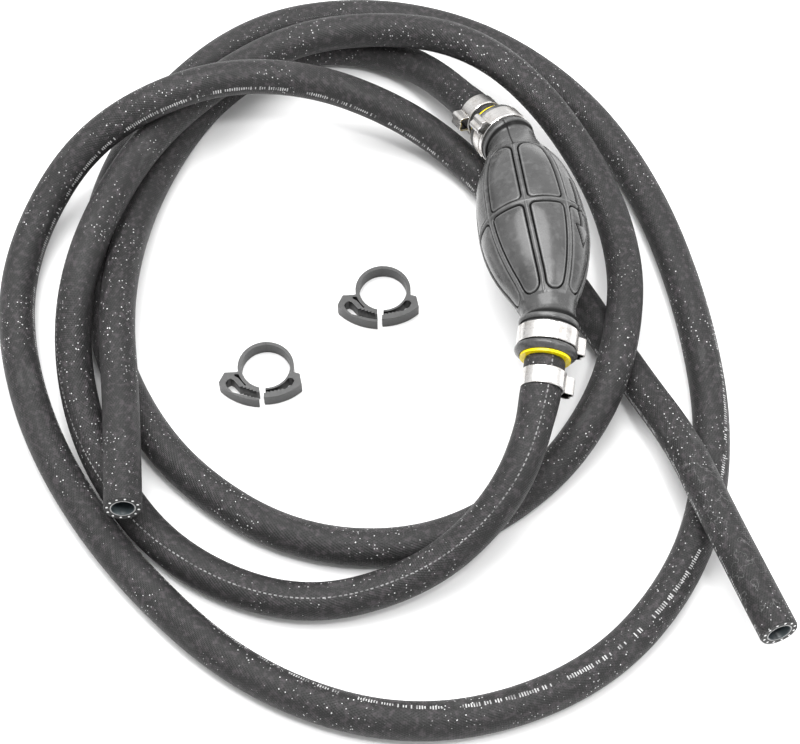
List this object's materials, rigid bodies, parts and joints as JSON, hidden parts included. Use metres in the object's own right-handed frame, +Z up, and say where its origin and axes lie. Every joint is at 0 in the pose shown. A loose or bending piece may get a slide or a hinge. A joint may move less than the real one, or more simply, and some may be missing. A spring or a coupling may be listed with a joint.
{
  "type": "fuel line with primer bulb",
  "caption": "Marine fuel line: ribbed hand-squeeze primer bulb with a check valve in each neck, two lengths of black hose held by ear clamps, and loose snap-grip clamps.",
  "frame": {"origin": "On the surface the part lies on, under the middle of the box round the bulb, its fittings and the loose clamps.", "axes": "+Z up from the surface; the bulb points roughly along Y, its outlet neck towards -Y, and lies on the +X side of the coil."},
  "size_m": [0.3499, 0.3907, 0.0688],
  "materials": {
    "bulb_rubber": "satin, moulded",
    "hose_rubber": "matt, fine cloth-wrapped texture",
    "valve_acetal": "gloss",
    "poppet_acetal": "natural",
    "seal_rubber": "matt",
    "spring_steel": "bright",
    "stainless": "bright, lightly brushed",
    "nylon": "moulded, slight sheen"
  },
  "bodies": {
    "root": {"inlet_hose": "hose_rubber", "outlet_hose": "hose_rubber", "inlet_hose_clamp": "stainless", "outlet_hose_clamp": "stainless", "inlet_neck_clamp": "stainless", "outlet_neck_clamp": "stainless", "inlet_valve_body": "valve_acetal", "outlet_valve_body": "valve_acetal", "inlet_valve_retainer": "poppet_acetal", "outlet_valve_seat": "poppet_acetal", "inlet_valve_spring": "spring_steel", "outlet_valve_spring": "spring_steel"},
    "bulb_wall": {"bulb": "bulb_rubber"},
    "inlet_valve": {"inlet_valve_poppet": "poppet_acetal", "inlet_valve_seal": "seal_rubber"},
    "outlet_valve": {"outlet_valve_poppet": "poppet_acetal", "outlet_valve_seal": "seal_rubber"},
    "snap_clamp_a": {"snap_clamp_a_base": "nylon"},
    "snap_clamp_a_jaw": {"snap_clamp_a_jaw": "nylon"},
    "snap_clamp_b": {"snap_clamp_b_base": "nylon"},
    "snap_clamp_b_jaw": {"snap_clamp_b_jaw": "nylon"}
  },
  "joints": [
    {"name": "bulb_squeeze", "type": "slide", "parent": "root", "child": "bulb_wall", "axis": [0.0117, -0.0892, -0.9959], "range_m": [0, 0.012], "stiffness_N_per_m": 5000, "deforming": ["bulb"]},
    {"name": "inlet_valve_lift", "type": "slide", "parent": "root", "child": "inlet_valve", "axis": [0.4499, -0.8299, 0.33], "range_m": [0, 0.0025], "stiffness_N_per_m": 150, "deforming": ["inlet_valve_spring"]},
    {"name": "outlet_valve_lift", "type": "slide", "parent": "root", "child": "outlet_valve", "axis": [-0.1294, -0.983, -0.1305], "range_m": [0, 0.0025], "stiffness_N_per_m": 150, "deforming": ["outlet_valve_spring"]},
    {"name": "snap_clamp_a_lift", "type": "slide", "parent": "root", "child": "snap_clamp_a", "axis": [0, 0, 1], "range_m": [0, 0.15]},
    {"name": "snap_clamp_a_close", "type": "hinge", "parent": "snap_clamp_a", "child": "snap_clamp_a_jaw", "pos_m": [-0.0095, 0.0042, 0.0035], "axis": [0, 0, -1], "range_deg": [0, 4], "stiffness_Nm_per_rad": 0.4},
    {"name": "snap_clamp_b_lift", "type": "slide", "parent": "root", "child": "snap_clamp_b", "axis": [0, 0, 1], "range_m": [0, 0.15]},
    {"name": "snap_clamp_b_close", "type": "hinge", "parent": "snap_clamp_b", "child": "snap_clamp_b_jaw", "pos_m": [-0.0631, -0.0372, 0.0035], "axis": [0, 0, -1], "range_deg": [0, 4], "stiffness_Nm_per_rad": 0.4}
  ]
}
